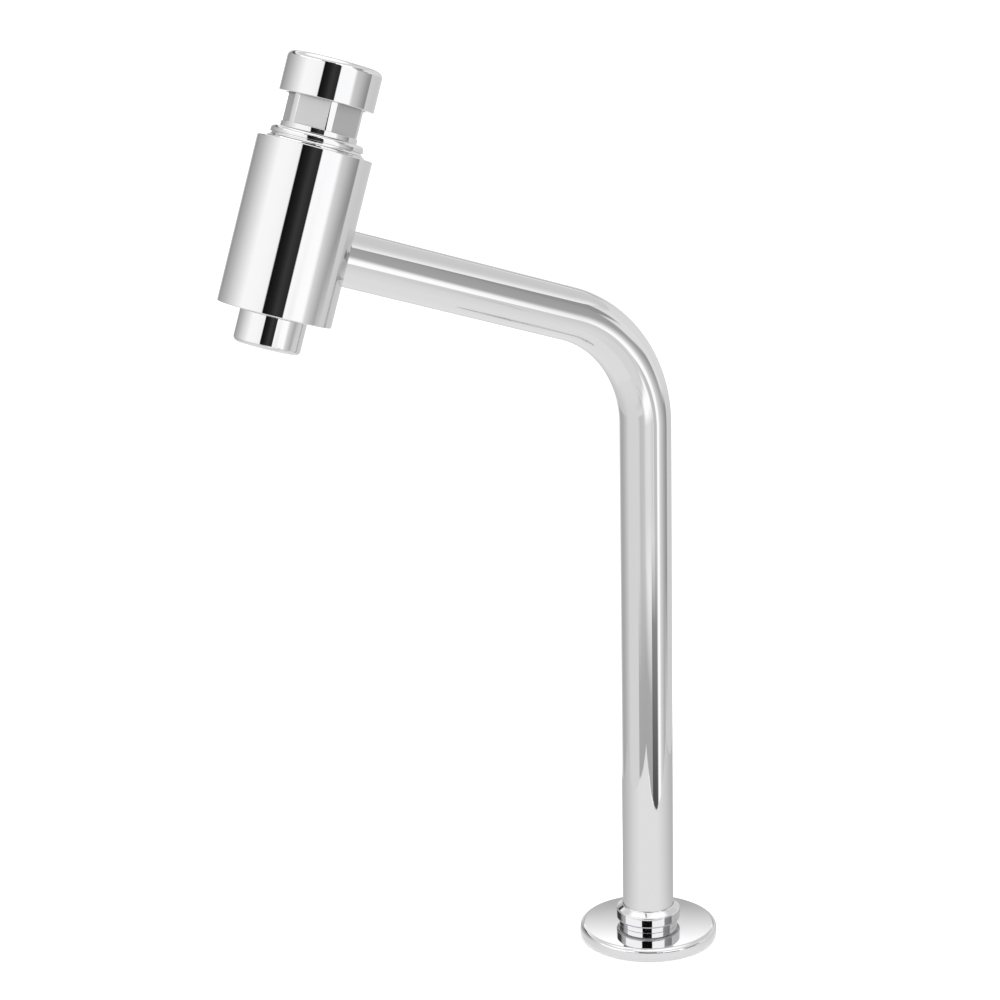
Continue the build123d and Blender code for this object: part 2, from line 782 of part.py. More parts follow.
with BuildPart() as return_spring:
    with BuildLine() as spring_path:
        Helix(
            spring_length / spring_turns,
            spring_length,
            spring_radius,
            center=head_level(spring_bottom).origin,
            direction=head_up,
        )
    with BuildSketch(Plane(origin=spring_path.line @ 0, z_dir=spring_path.line % 0)):
        RegularPolygon(spring_wire_radius, spring_wire_sides)
    sweep(path=spring_path.line, is_frenet=True)
return_spring.part.label = "return_spring"
export_step(return_spring.part, "parts/return_spring.step")
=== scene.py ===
import json
from math import cos, pi, radians, sin

import bpy
from mathutils import Matrix, Vector


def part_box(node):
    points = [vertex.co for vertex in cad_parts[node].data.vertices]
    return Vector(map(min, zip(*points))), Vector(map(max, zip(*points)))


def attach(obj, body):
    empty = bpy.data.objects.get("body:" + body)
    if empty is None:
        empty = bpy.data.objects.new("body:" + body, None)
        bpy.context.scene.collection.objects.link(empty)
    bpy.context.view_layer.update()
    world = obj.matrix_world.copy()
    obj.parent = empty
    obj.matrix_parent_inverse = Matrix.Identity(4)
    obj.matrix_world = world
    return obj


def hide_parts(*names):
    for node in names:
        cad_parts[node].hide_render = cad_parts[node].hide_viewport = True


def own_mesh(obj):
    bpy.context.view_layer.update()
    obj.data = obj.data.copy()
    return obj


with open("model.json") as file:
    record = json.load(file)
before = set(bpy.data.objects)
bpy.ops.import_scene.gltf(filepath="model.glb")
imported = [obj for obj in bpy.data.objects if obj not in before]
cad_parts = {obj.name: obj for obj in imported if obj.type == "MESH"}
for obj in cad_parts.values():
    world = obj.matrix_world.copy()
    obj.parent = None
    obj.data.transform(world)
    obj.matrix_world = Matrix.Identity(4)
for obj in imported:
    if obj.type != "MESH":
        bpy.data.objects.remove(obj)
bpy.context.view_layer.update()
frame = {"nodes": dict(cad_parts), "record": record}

mm = 0.001  # values below are in millimetres, Blender's in metres
nodes = frame["nodes"]
weldDistance = 0.002 * mm  # points nearer to each other than this are one
sharpAngle = radians(35)  # edges sharper than this stay crisp
noiseSpan = (0.3, 0.7)  # where most values of a noise pattern lie


def deselectAll():
    if bpy.context.object and bpy.context.object.mode != "OBJECT":
        bpy.ops.object.mode_set(mode="OBJECT")
    bpy.ops.object.select_all(action="DESELECT")


def useOnly(piece):
    deselectAll()
    piece.select_set(True)
    bpy.context.view_layer.objects.active = piece


def applyModifier(piece, kind, **settings):
    useOnly(piece)
    modifier = piece.modifiers.new(kind.title(), kind)
    for key, value in settings.items():
        setattr(modifier, key, value)
    bpy.ops.object.modifier_apply(modifier=modifier.name)


def joinOrCut(piece, other, operation="DIFFERENCE"):
    applyModifier(piece, "BOOLEAN", operation=operation, object=other, solver="EXACT")
    bpy.data.objects.remove(other)


# The head's own axis: its tilt is the arm's rise, and heights on the head count from where
# the arm's line meets it

headValues = {
    "tilt": radians(18),
    "bodyMiddle": 4.5,  # height of the body's middle above the arm's line
}
bodyLow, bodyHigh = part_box("valve_body")
headUp = Vector((sin(headValues["tilt"]), 0, cos(headValues["tilt"])))
headCentre = (bodyLow + bodyHigh) / 2 - headUp * headValues["bodyMiddle"] * mm
headPlace = Matrix.Translation(headCentre) @ Matrix.Rotation(headValues["tilt"], 4, "Y")


def fillOpenEnds():
    bpy.ops.mesh.select_all(action="DESELECT")
    bpy.ops.mesh.select_non_manifold()
    bpy.ops.mesh.fill_holes(sides=0)
    bpy.ops.mesh.select_all(action="SELECT")


def turnRings(name, rings, sides, closed):
    # a circle drawn up and in through the given (radius, height) rings, as on a lathe.
    # Closed rings end where they began, and others get a flat end at each side
    deselectAll()
    radius, height = rings[0]
    bpy.ops.mesh.primitive_circle_add(
        vertices=sides, radius=radius * mm, location=(0, 0, height * mm)
    )
    piece = bpy.context.object
    piece.name = name
    bpy.ops.object.transform_apply(location=True)
    bpy.ops.object.mode_set(mode="EDIT")
    bpy.ops.mesh.select_all(action="SELECT")
    for nextRadius, nextHeight in rings[1:]:
        bpy.ops.mesh.extrude_edges_move(
            TRANSFORM_OT_translate={"value": (0, 0, (nextHeight - height) * mm)}
        )
        scale = nextRadius / radius
        bpy.ops.transform.resize(
            value=(scale, scale, 1), center_override=(0, 0, nextHeight * mm)
        )
        radius, height = nextRadius, nextHeight
    bpy.ops.mesh.select_all(action="SELECT")
    if closed:
        bpy.ops.mesh.remove_doubles(threshold=weldDistance)
    else:
        fillOpenEnds()
    bpy.ops.mesh.normals_make_consistent(inside=False)
    bpy.ops.object.mode_set(mode="OBJECT")
    return piece


def selectRing(piece, radius, height):
    # selects the ring of edges at that radius and height
    useOnly(piece)
    bpy.ops.object.mode_set(mode="EDIT")
    bpy.ops.mesh.select_mode(type="EDGE")
    bpy.ops.mesh.select_all(action="DESELECT")
    bpy.ops.object.mode_set(mode="OBJECT")
    close = 0.01 * mm
    onRing = [
        abs(v.co.xy.length - radius * mm) < close and abs(v.co.z - height * mm) < close
        for v in piece.data.vertices
    ]
    for edge in piece.data.edges:
        edge.select = onRing[edge.vertices[0]] and onRing[edge.vertices[1]]


def bevelRing(piece, ring, width, segments):
    selectRing(piece, *ring)
    bpy.ops.object.mode_set(mode="EDIT")
    bpy.ops.mesh.bevel(offset=width * mm, segments=segments, profile=0.5, affect="EDGES")
    bpy.ops.object.mode_set(mode="OBJECT")


def finishMetal(piece):
    # smooth shading whose flats stay flat beside their small bevels
    useOnly(piece)
    bpy.ops.object.shade_smooth_by_angle(angle=sharpAngle)
    applyModifier(piece, "WEIGHTED_NORMAL", mode="FACE_AREA", weight=100, keep_sharp=True)


def placeOnHead(piece):
    useOnly(piece)
    piece.matrix_world = headPlace
    bpy.ops.object.transform_apply(location=True, rotation=True, scale=True)


def standFor(piece, node, body, finish):
    piece.data.materials.clear()
    piece.data.materials.append(finish)
    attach(piece, body)
    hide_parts(node)


def hexColour(code):
    # sRGB hex to the linear colour that Blender's sockets take
    channels = [int(code[i:i + 2], 16) / 255 for i in (0, 2, 4)]
    linear = [c / 12.92 if c <= 0.04045 else ((c + 0.055) / 1.055) ** 2.4 for c in channels]
    return (*linear, 1.0)


def addNode(tree, kind, settings=None, inputs=None):
    # an input is given as a value, or as the socket that it is linked from
    node = tree.nodes.new(kind)
    for key, value in (settings or {}).items():
        setattr(node, key, value)
    for key, value in (inputs or {}).items():
        if isinstance(value, bpy.types.NodeSocket):
            tree.links.new(value, node.inputs[key])
        else:
            node.inputs[key].default_value = value
    return node


def newMaterial(name):
    material = bpy.data.materials.new(name)
    material.use_nodes = True
    tree = material.node_tree
    shader = tree.nodes["Principled BSDF"]
    return material, tree, shader


# Polished chrome plate on brass: chromium keeps about three fifths of the light, so the
# mirror is clear and a little cool, and what it sees twice in a corner turns dark

chromeValues = {
    "colour": "CDCDCE",
    "roughLow": 0.025,
    "roughHigh": 0.05,
    "hazeSize": 18.0,  # patches of haze, in mm
}


def polishedChrome(v):
    material, tree, shader = newMaterial("polishedChrome")
    place = addNode(tree, "ShaderNodeTexCoord")
    haze = addNode(tree, "ShaderNodeTexNoise", inputs={
        "Vector": place.outputs["Object"],
        "Scale": 1 / (v["hazeSize"] * mm),
        "Detail": 3.0,
    })
    spread = addNode(tree, "ShaderNodeMapRange", inputs={
        "Value": haze.outputs["Fac"],
        "From Min": noiseSpan[0],
        "From Max": noiseSpan[1],
        "To Min": v["roughLow"],
        "To Max": v["roughHigh"],
    })
    shader.inputs["Base Color"].default_value = hexColour(v["colour"])
    shader.inputs["Metallic"].default_value = 1.0
    tree.links.new(spread.outputs["Result"], shader.inputs["Roughness"])
    return material


# Satin chrome on the spanner flats: milled and not buffed before plating, it shows no
# picture, only a soft even sheen with a fine grain

satinValues = {
    "colour": "BDBDBE",
    "roughLow": 0.36,
    "roughHigh": 0.42,
    "grainSize": 0.25,  # in mm, coarser than the real 0.05 so that it shows
    "grainDepth": 0.002,
}


def satinChrome(v):
    material, tree, shader = newMaterial("satinChrome")
    place = addNode(tree, "ShaderNodeTexCoord")
    grain = addNode(tree, "ShaderNodeTexNoise", inputs={
        "Vector": place.outputs["Object"],
        "Scale": 1 / (v["grainSize"] * mm),
        "Detail": 2.0,
    })
    spread = addNode(tree, "ShaderNodeMapRange", inputs={
        "Value": grain.outputs["Fac"],
        "From Min": noiseSpan[0],
        "From Max": noiseSpan[1],
        "To Min": v["roughLow"],
        "To Max": v["roughHigh"],
    })
    relief = addNode(tree, "ShaderNodeBump", inputs={
        "Height": grain.outputs["Fac"],
        "Strength": 0.3,
        "Distance": v["grainDepth"] * mm,
    })
    shader.inputs["Base Color"].default_value = hexColour(v["colour"])
    shader.inputs["Metallic"].default_value = 1.0
    tree.links.new(spread.outputs["Result"], shader.inputs["Roughness"])
    tree.links.new(relief.outputs["Normal"], shader.inputs["Normal"])
    return material


# Stainless steel, drawn and turned: a grey metal with faint lines round the head's axis
# that stretch its highlights across them

steelValues = {
    "colour": "C4C3BF",
    "roughLow": 0.18,
    "roughHigh": 0.34,
    "lineSpacing": 0.12,  # of the drawing and turning lines, in mm
    "lineLength": 6.0,
    "lineDepth": 0.003,
}

# Free-cutting brass, turned and left bare: warm yellow, with the same fine tool lines
# and a light brown bloom where water has stood on it

brassValues = {
    "colour": "C6A15B",
    "bloom": "A67F45",
    "bloomSize": 5.0,
    "bloomSpan": (0.45, 0.75),  # of its noise, from none to full
    "roughLow": 0.20,
    "roughHigh": 0.38,
    "lineSpacing": 0.15,
    "lineLength": 8.0,
    "lineDepth": 0.004,
}


def turnedMetal(name, v):
    material, tree, shader = newMaterial(name)
    place = addNode(tree, "ShaderNodeTexCoord")
    along = addNode(tree, "ShaderNodeMapping", {"vector_type": "TEXTURE"}, {
        "Vector": place.outputs["Object"],
        "Rotation": (0, headValues["tilt"], 0),
        "Scale": (v["lineLength"] * mm, v["lineLength"] * mm, v["lineSpacing"] * mm),
    })
    lines = addNode(tree, "ShaderNodeTexNoise", inputs={
        "Vector": along.outputs["Vector"], "Scale": 1.0, "Detail": 3.0,
    })
    spread = addNode(tree, "ShaderNodeMapRange", inputs={
        "Value": lines.outputs["Fac"],
        "From Min": noiseSpan[0],
        "From Max": noiseSpan[1],
        "To Min": v["roughLow"],
        "To Max": v["roughHigh"],
    })
    relief = addNode(tree, "ShaderNodeBump", inputs={
        "Height": lines.outputs["Fac"], "Strength": 0.4, "Distance": v["lineDepth"] * mm,
    })
    shader.inputs["Base Color"].default_value = hexColour(v["colour"])
    if "bloom" in v:
        patches = addNode(tree, "ShaderNodeTexNoise", inputs={
            "Vector": place.outputs["Object"],
            "Scale": 1 / (v["bloomSize"] * mm),
            "Detail": 4.0,
        })
        bloom = addNode(tree, "ShaderNodeMapRange", inputs={
            "Value": patches.outputs["Fac"],
            "From Min": v["bloomSpan"][0],
            "From Max": v["bloomSpan"][1],
        })
        tint = addNode(tree, "ShaderNodeMix", {"data_type": "RGBA"}, {
            0: bloom.outputs["Result"], 6: hexColour(v["colour"]), 7: hexColour(v["bloom"]),
        })
        tree.links.new(tint.outputs[2], shader.inputs["Base Color"])
    shader.inputs["Metallic"].default_value = 1.0
    tree.links.new(spread.outputs["Result"], shader.inputs["Roughness"])
    tree.links.new(relief.outputs["Normal"], shader.inputs["Normal"])
    return material


# Moulded EPDM rubber: near black and dull, with the fine grain of its mould

rubberValues = {
    "colour": "1E1E1F",
    "dust": "2E2E2E",
    "roughLow": 0.50,
    "roughHigh": 0.68,
    "grainSize": 0.20,
    "grainDepth": 0.01,
    "ior": 1.52,
}

# Moulded acetal: milky white with a waxy gloss, a little light passing under its skin

acetalValues = {
    "colour": "E9E8E2",
    "dust": "DEDDD5",
    "roughLow": 0.30,
    "roughHigh": 0.42,
    "grainSize": 0.35,
    "grainDepth": 0.004,
    "ior": 1.48,
    "under": 0.15,  # share of the light that passes under the skin
    "underDepth": 1.0,
}


def mouldedPlastic(name, v):
    material, tree, shader = newMaterial(name)
    place = addNode(tree, "ShaderNodeTexCoord")
    grain = addNode(tree, "ShaderNodeTexNoise", inputs={
        "Vector": place.outputs["Object"], "Scale": 1 / (v["grainSize"] * mm), "Detail": 3.0,
    })
    tint = addNode(tree, "ShaderNodeMix", {"data_type": "RGBA"}, {
        0: grain.outputs["Fac"], 6: hexColour(v["colour"]), 7: hexColour(v["dust"]),
    })
    spread = addNode(tree, "ShaderNodeMapRange", inputs={
        "Value": grain.outputs["Fac"],
        "From Min": noiseSpan[0],
        "From Max": noiseSpan[1],
        "To Min": v["roughLow"],
        "To Max": v["roughHigh"],
    })
    relief = addNode(tree, "ShaderNodeBump", inputs={
        "Height": grain.outputs["Fac"], "Strength": 0.4, "Distance": v["grainDepth"] * mm,
    })
    tree.links.new(tint.outputs[2], shader.inputs["Base Color"])
    tree.links.new(spread.outputs["Result"], shader.inputs["Roughness"])
    tree.links.new(relief.outputs["Normal"], shader.inputs["Normal"])
    shader.inputs["IOR"].default_value = v["ior"]
    if "under" in v:
        shader.inputs["Subsurface Weight"].default_value = v["under"]
        shader.inputs["Subsurface Scale"].default_value = v["underDepth"] * mm
    return material


chrome = polishedChrome(chromeValues)
satin = satinChrome(satinValues)
finishes = {
    "chrome": chrome,
    "stainless": turnedMetal("drawnStainlessSteel", steelValues),
    "brass": turnedMetal("turnedBrass", brassValues),
    "rubber": mouldedPlastic("mouldedRubber", rubberValues),
    "acetal": mouldedPlastic("mouldedAcetal", acetalValues),
}
for subpart in frame["record"]["subparts"]:
    for nodeSlot in nodes[subpart["node"]].material_slots:
        nodeSlot.material = finishes[subpart["material_slot"]]
print("materials made, inner parts finished")


# Flange plate on the deck, rounded above and below, with the gasket's recess underneath

flangeValues = {
    "radius": 25.75,
    "thickness": 4.9,
    "rimRound": 1.7,
    "footRound": 1.6,
    "holeRadius": 10.15,
    "recessOuter": 23.3,
    "recessInner": 15.2,
    "recessDepth": 1.2,
    "sides": 192,
}


def flangePlate(v):
    piece = turnRings("flange_plate", [
        (v["holeRadius"], v["thickness"]),
        (v["radius"], v["thickness"]),
        (v["radius"], 0),
        (v["recessOuter"], 0),
        (v["recessOuter"], v["recessDepth"]),
        (v["recessInner"], v["recessDepth"]),
        (v["recessInner"], 0),
        (v["holeRadius"], 0),
        (v["holeRadius"], v["thickness"]),
    ], v["sides"], closed=True)
    bevelRing(piece, (v["radius"], v["thickness"]), v["rimRound"], 10)
    bevelRing(piece, (v["radius"], 0), v["footRound"], 6)
    finishMetal(piece)
    standFor(piece, "base_flange", "root", chrome)


# Boss on the flange, with the spigot that the column stands in

bossValues = {
    "bossRadius": 11.0,
    "bossTop": 7.0,
    "shankRadius": 10.1,
    "shankTop": 4.9,
    "shankChamfer": 0.4,
    "spigotRadius": 10.575,
    "spigotTop": 10.6,
    "socketRadius": 9.575,
    "socketFloor": 8.8,
    "webBore": 6.0,
    "webBottom": 8.0,
    "reliefRadius": 7.98,
    "threadTop": 6.0,
    "threadRadius": 7.48,
    "edge": 0.12,
    "sides": 128,
}


def inletBoss(v):
    rings = [
        (v["shankRadius"] - v["shankChamfer"], 0),
        (v["shankRadius"], v["shankChamfer"]),
        (v["shankRadius"], v["shankTop"]),
        (v["bossRadius"], v["shankTop"]),
        (v["bossRadius"], v["bossTop"]),
        (v["spigotRadius"], v["bossTop"]),
        (v["spigotRadius"], v["spigotTop"]),
        (v["socketRadius"], v["spigotTop"]),
        (v["socketRadius"], v["socketFloor"]),
        (v["webBore"], v["socketFloor"]),
        (v["webBore"], v["webBottom"]),
        (v["reliefRadius"], v["webBottom"]),
        (v["reliefRadius"], v["threadTop"]),
        (v["threadRadius"], v["threadTop"]),
        (v["threadRadius"], 0),
    ]
    piece = turnRings("inlet_boss", rings + rings[:1], v["sides"], closed=True)
    bevelRing(piece, (v["bossRadius"], v["bossTop"]), v["edge"], 3)
    bevelRing(piece, (v["bossRadius"], v["shankTop"]), v["edge"], 3)
    finishMetal(piece)
    standFor(piece, "inlet_bush", "root", chrome)


# Collar round the column's foot: straight side, low cone, and a thin lip that the cone
# sweeps up into. Each rounding is given as the width that it takes off beside its edge

collarValues = {
    "radius": 12.0,
    "foot": 7.0,
    "edge": 11.2,
    "coneTop": 12.61,
    "top": 12.97,
    "lipRadius": 9.65,
    "neckRadius": 9.575,  # just clear of the column
    "boreRadius": 10.625,
    "boreTop": 10.6,  # where the boss's spigot ends
    "footRound": 0.8,
    "edgeRound": 0.4,
    "hollow": 0.34,
    "sides": 160,
}


def footCollar(v):
    rings = [
        (v["boreRadius"], v["foot"]),
        (v["radius"], v["foot"]),
        (v["radius"], v["edge"]),
        (v["lipRadius"], v["coneTop"]),
        (v["lipRadius"], v["top"]),
        (v["neckRadius"], v["top"]),
        (v["neckRadius"], v["boreTop"]),
        (v["boreRadius"], v["boreTop"]),
    ]
    piece = turnRings("foot_collar", rings + rings[:1], v["sides"], closed=True)
    bevelRing(piece, (v["radius"], v["foot"]), v["footRound"], 8)
    bevelRing(piece, (v["radius"], v["edge"]), v["edgeRound"], 6)
    bevelRing(piece, (v["lipRadius"], v["coneTop"]), v["hollow"], 10)
    finishMetal(piece)
    standFor(piece, "collar", "root", chrome)


# Spout pipe: column, bend and arm drawn from one circle, then given its wall

pipeValues = {
    "radius": 9.525,
    "wall": 1.0,
    "foot": 8.8,
    "cornerHeight": 231.8,
    "bendRadius": 46.0,
    "bendSteps": 72,
    "columnSteps": 12,
    "armSteps": 8,
    "armEnd": 128.4,  # from the corner along the arm
    "sides": 96,
}


def spoutPipe(v):
    turn = pi / 2 - headValues["tilt"]
    setback = v["bendRadius"] * sin(turn / 2) / cos(turn / 2)
    bendStart = v["cornerHeight"] - setback
    deselectAll()
    bpy.ops.mesh.primitive_circle_add(
        vertices=v["sides"], radius=v["radius"] * mm, location=(0, 0, v["foot"] * mm)
    )
    piece = bpy.context.object
    piece.name = "spout_pipe"
    bpy.ops.object.transform_apply(location=True)
    bpy.ops.object.mode_set(mode="EDIT")
    bpy.ops.mesh.select_all(action="SELECT")
    step = (bendStart - v["foot"]) / v["columnSteps"] * mm
    for _ in range(v["columnSteps"]):
        bpy.ops.mesh.extrude_edges_move(TRANSFORM_OT_translate={"value": (0, 0, step)})
    bpy.ops.mesh.spin(
        steps=v["bendSteps"], angle=turn,
        center=(-v["bendRadius"] * mm, 0, bendStart * mm), axis=(0, 1, 0),
    )
    step = (v["armEnd"] - setback) / v["armSteps"] * mm
    along = Vector((-cos(headValues["tilt"]), 0, sin(headValues["tilt"]))) * step
    for _ in range(v["armSteps"]):
        bpy.ops.mesh.extrude_edges_move(TRANSFORM_OT_translate={"value": tuple(along)})
    bpy.ops.mesh.select_all(action="SELECT")
    bpy.ops.mesh.remove_doubles(threshold=weldDistance)
    bpy.ops.mesh.normals_make_consistent(inside=False)
    bpy.ops.object.mode_set(mode="OBJECT")
    useOnly(piece)
    bpy.ops.object.shade_smooth()
    applyModifier(
        piece, "SOLIDIFY", thickness=v["wall"] * mm, offset=-1.0, use_even_offset=True
    )
    useOnly(piece)
    bpy.ops.object.shade_smooth_by_angle(angle=sharpAngle)
    standFor(piece, "spout_tube", "root", chrome)


# Valve barrel: the thick cylinder, with the arm's socket cut into its side

barrelValues = {
    "radius": 19.2,
    "bottom": -23.3,
    "top": 32.3,
    "edge": 0.4,
    "boreRadius": 14.0,
    "boreFloor": -15.0,
    "outletRadius": 9.6,
    "sealRadius": 10.75,
    "sealTop": -22.15,
    "socketRadius": 9.54,
    "socketReach": 15.2,  # from the axis to the socket's floor
    "waterRadius": 8.525,  # the way from the arm into the barrel
    "cutterRoom": 4,  # that the cutters stand out beyond the barrel
    "cutterSides": 96,
    "sides": 192,
}


def valveBarrel(v):
    rings = [
        (v["outletRadius"], v["sealTop"]),
        (v["sealRadius"], v["sealTop"]),
        (v["sealRadius"], v["bottom"]),
        (v["radius"], v["bottom"]),
        (v["radius"], v["top"]),
        (v["boreRadius"], v["top"]),
        (v["boreRadius"], v["boreFloor"]),
        (v["outletRadius"], v["boreFloor"]),
    ]
    piece = turnRings("valve_barrel", rings + rings[:1], v["sides"], closed=True)
    bevelRing(piece, (v["radius"], v["bottom"]), v["edge"], 4)
    bevelRing(piece, (v["radius"], v["top"]), v["edge"], 4)
    for radius, reach in ((v["socketRadius"], v["socketReach"]), (v["waterRadius"], 0)):
        deselectAll()
        length = v["radius"] + v["cutterRoom"] - reach
        bpy.ops.mesh.primitive_cylinder_add(
            vertices=v["cutterSides"], radius=radius * mm, depth=length * mm,
            location=((reach + length / 2) * mm, 0, 0), rotation=(0, pi / 2, 0),
        )
        joinOrCut(piece, bpy.context.object)
    finishMetal(piece)
    placeOnHead(piece)
    standFor(piece, "valve_body", "root", chrome)


# Trim ring between barrel and bonnet: straight foot, hollow side

trimValues = {
    "footRadius": 16.2,
    "bottom": 32.3,
    "straightTop": 32.9,
    "topRadius": 15.4,
    "top": 33.6,
    "boreRadius": 14.0,
    "hollowSteps": 6,
    "edge": 0.08,
    "sides": 160,
}


def trimRing(v):
    drop = v["top"] - v["straightTop"]
    inward = v["footRadius"] - v["topRadius"]
    rings = [(v["boreRadius"], v["bottom"]), (v["footRadius"], v["bottom"])]
    for i in range(v["hollowSteps"] + 1):
        angle = pi / 2 * i / v["hollowSteps"]
        rings.append((v["footRadius"] - inward * sin(angle), v["top"] - drop * cos(angle)))
    rings.append((v["boreRadius"], v["top"]))
    piece = turnRings("trim_ring", rings + rings[:1], v["sides"], closed=True)
    bevelRing(piece, (v["footRadius"], v["straightTop"]), v["edge"], 2)
    finishMetal(piece)
    placeOnHead(piece)
    standFor(piece, "bonnet_ring", "root", chrome)


# Bonnet: groove, flange with a rounded shoulder, step, and the neck with six flats

bonnetValues = {
    "shankRadius": 13.95,
    "bottom": 22.0,
    "boreRadius": 11.05,
    "boreTop": 27.5,
    "noseRadius": 6.95,
    "grooveBottom": 33.6,
    "grooveTop": 34.0,
    "grooveRadius": 14.9,
    "flangeRadius": 15.5,
    "flangeTop": 36.4,
    "shoulder": 1.3,
    "stepRadius": 12.8,
    "stepTop": 38.1,
    "neckRoot": 1.0,  # how far the neck reaches down into the step
    "neckTop": 49.0,
    "neckRadius": 12.69,
    "acrossFlats": 23.0,
    "turn": radians(-14),
    "edge": 0.15,
    "edgeAngle": radians(12),
    "prismLength": 40,
    "cutterRoom": 5,
    "cutterSides": 96,
    "flatSpread": 0.02,  # a face this near to its flat's plane belongs to it
    "sides": 192,
}


def bonnetNeck(v):
    piece = turnRings("bonnet_neck", [
        (v["shankRadius"], v["bottom"]),
        (v["shankRadius"], v["grooveBottom"]),
        (v["grooveRadius"], v["grooveBottom"]),
        (v["grooveRadius"], v["grooveTop"]),
        (v["flangeRadius"], v["grooveTop"]),
        (v["flangeRadius"], v["flangeTop"]),
        (v["stepRadius"], v["flangeTop"]),
        (v["stepRadius"], v["stepTop"]),
    ], v["sides"], closed=False)
    bevelRing(piece, (v["flangeRadius"], v["flangeTop"]), v["shoulder"], 8)
    bevelRing(piece, (v["flangeRadius"], v["grooveTop"]), v["edge"], 3)
    bevelRing(piece, (v["stepRadius"], v["stepTop"]), v["edge"], 3)
    neck = turnRings("neck", [
        (v["neckRadius"], v["stepTop"] - v["neckRoot"]),
        (v["neckRadius"], v["neckTop"]),
    ], v["sides"], closed=False)
    deselectAll()
    bpy.ops.mesh.primitive_cylinder_add(
        vertices=6, radius=v["acrossFlats"] / 2 / cos(pi / 6) * mm, depth=v["prismLength"] * mm,
        location=(0, 0, v["neckTop"] * mm), rotation=(0, 0, v["turn"]),
    )
    joinOrCut(neck, bpy.context.object, "INTERSECT")
    applyModifier(
        neck, "BEVEL", width=v["edge"] * mm, segments=3, limit_method="ANGLE",
        angle_limit=v["edgeAngle"],
    )
    joinOrCut(piece, neck, "UNION")
    bore = turnRings("bore", [
        (v["boreRadius"], v["bottom"] - v["cutterRoom"]),
        (v["boreRadius"], v["boreTop"]),
        (v["noseRadius"], v["boreTop"]),
        (v["noseRadius"], v["neckTop"] + v["cutterRoom"]),
    ], v["cutterSides"], closed=False)
    joinOrCut(piece, bore)
    finishMetal(piece)
    flatDistance = v["acrossFlats"] / 2 * mm
    flats = [
        face.index for face in piece.data.polygons
        if abs(face.normal.z) < 0.01
        and abs(face.normal.dot(face.center) - flatDistance) < v["flatSpread"] * mm
    ]
    placeOnHead(piece)
    standFor(piece, "bonnet", "root", chrome)
    piece.data.materials.append(satin)
    for index in flats:
        piece.data.polygons[index].material_index = 1


# Outlet nozzle below the barrel

nozzleValues = {
    "radius": 11.3,
    "bottom": -34.5,
    "shoulder": -23.3,
    "mouthEdge": 1.5,
    "threadRadius": 9.55,
    "threadTop": -17.0,
    "boreRadius": 8.4,
    "seatRadius": 9.2,
    "seatTop": -29.8,
    "reliefDepth": 0.8,  # the fine groove below the barrel's edge
    "reliefHeight": 0.4,
    "edge": 0.12,
    "sides": 160,
}


def outletShell(v):
    reliefRadius = v["radius"] - v["reliefDepth"]
    shoulderEdge = v["shoulder"] - v["reliefHeight"]
    rings = [
        (v["seatRadius"], v["bottom"]),
        (v["radius"], v["bottom"]),
        (v["radius"], shoulderEdge),
        (reliefRadius, shoulderEdge),
        (reliefRadius, v["shoulder"]),
        (v["threadRadius"], v["shoulder"]),
        (v["threadRadius"], v["threadTop"]),
        (v["boreRadius"], v["threadTop"]),
        (v["boreRadius"], v["seatTop"]),
        (v["seatRadius"], v["seatTop"]),
    ]
    piece = turnRings("outlet_shell", rings + rings[:1], v["sides"], closed=True)
    bevelRing(piece, (v["radius"], v["bottom"]), v["mouthEdge"], 10)
    bevelRing(piece, (v["radius"], shoulderEdge), v["edge"], 3)
    finishMetal(piece)
    placeOnHead(piece)
    standFor(piece, "outlet_nozzle", "root", chrome)


# Push button: a cap with a softly rounded top edge, a crisp rim and its boss inside

capValues = {
    "radius": 15.8,
    "bottom": 47.4,
    "top": 60.9,
    "topEdge": 2.1,
    "rimChamfer": 0.3,
    "boreRadius": 13.2,
    "ceiling": 57.9,
    "bossRadius": 6.0,
    "bossBottom": 47.8,
    "boreStem": 3.0,
    "stemTop": 52.85,
    "sides": 192,
}


def pushCap(v):
    rings = [
        (v["boreStem"], v["stemTop"]),
        (v["boreStem"], v["bossBottom"]),
        (v["bossRadius"], v["bossBottom"]),
        (v["bossRadius"], v["ceiling"]),
        (v["boreRadius"], v["ceiling"]),
        (v["boreRadius"], v["bottom"]),
        (v["radius"], v["bottom"]),
        (v["radius"], v["top"]),
    ]
    piece = turnRings("push_cap", rings, v["sides"], closed=False)
    bevelRing(piece, (v["radius"], v["top"]), v["topEdge"], 12)
    bevelRing(piece, (v["radius"], v["bottom"]), v["rimChamfer"], 3)
    bevelRing(piece, (v["boreRadius"], v["bottom"]), v["rimChamfer"], 2)
    finishMetal(piece)
    placeOnHead(piece)
    standFor(piece, "button_cap", "button", chrome)


# Return spring: hard-drawn stainless wire wound between the seat and the piston. It is made at
# rest and stays so here, though its coils would close up as the button goes down

springValues = {
    "coilRadius": 5.4,
    "wireRadius": 0.5,
    "wireSides": 12,
    "bottom": -11.45,  # of the wire's middle
    "turns": 6,
    "rise": 16.9,
    "steps": 32,  # in one turn
    "seat": -12.0,
    "room": 18.0,  # between the seat and the piston at rest
    "travel": 8.0,
}


